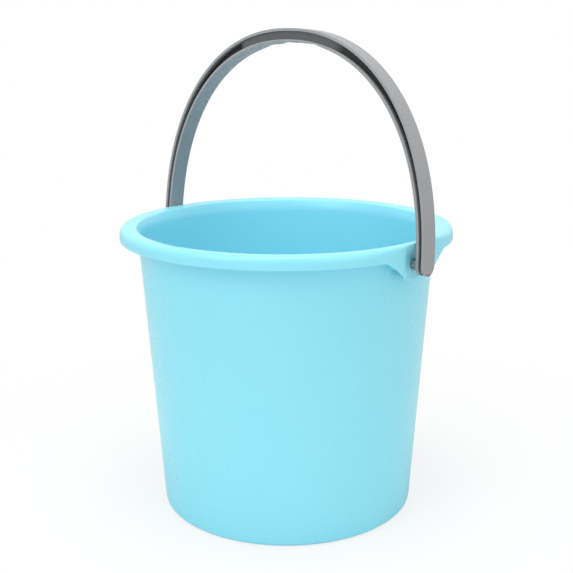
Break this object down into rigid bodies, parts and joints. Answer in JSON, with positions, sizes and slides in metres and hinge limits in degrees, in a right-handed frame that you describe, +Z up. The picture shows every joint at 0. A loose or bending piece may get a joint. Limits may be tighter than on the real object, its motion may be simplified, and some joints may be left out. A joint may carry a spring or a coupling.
{
  "type": "plastic bucket",
  "caption": "Round tapered plastic bucket with a turned-down rim, two ears and a swinging arched handle with a thicker grip, for carrying water when cleaning or washing.",
  "frame": {"origin": "centre of the foot ring's underside, where the bucket stands", "axes": "+Z up, out of the mouth; X along the axis that the handle swings about; +Y the way the upright handle leans, away from the picture's camera"},
  "size_m": [0.289, 0.28, 0.4053],
  "materials": {
    "bucket_plastic": "smooth light turquoise, soft gloss",
    "handle_plastic": "mid grey, satin"
  },
  "bodies": {
    "bucket": {"bucket": "bucket_plastic"},
    "handle": {"handle": "handle_plastic"}
  },
  "joints": [
    {"name": "handle_swing", "type": "hinge", "parent": "bucket", "child": "handle", "pos_m": [0, 0, 0.228], "axis": [1, 0, 0], "range_deg": [-129, 135]}
  ]
}
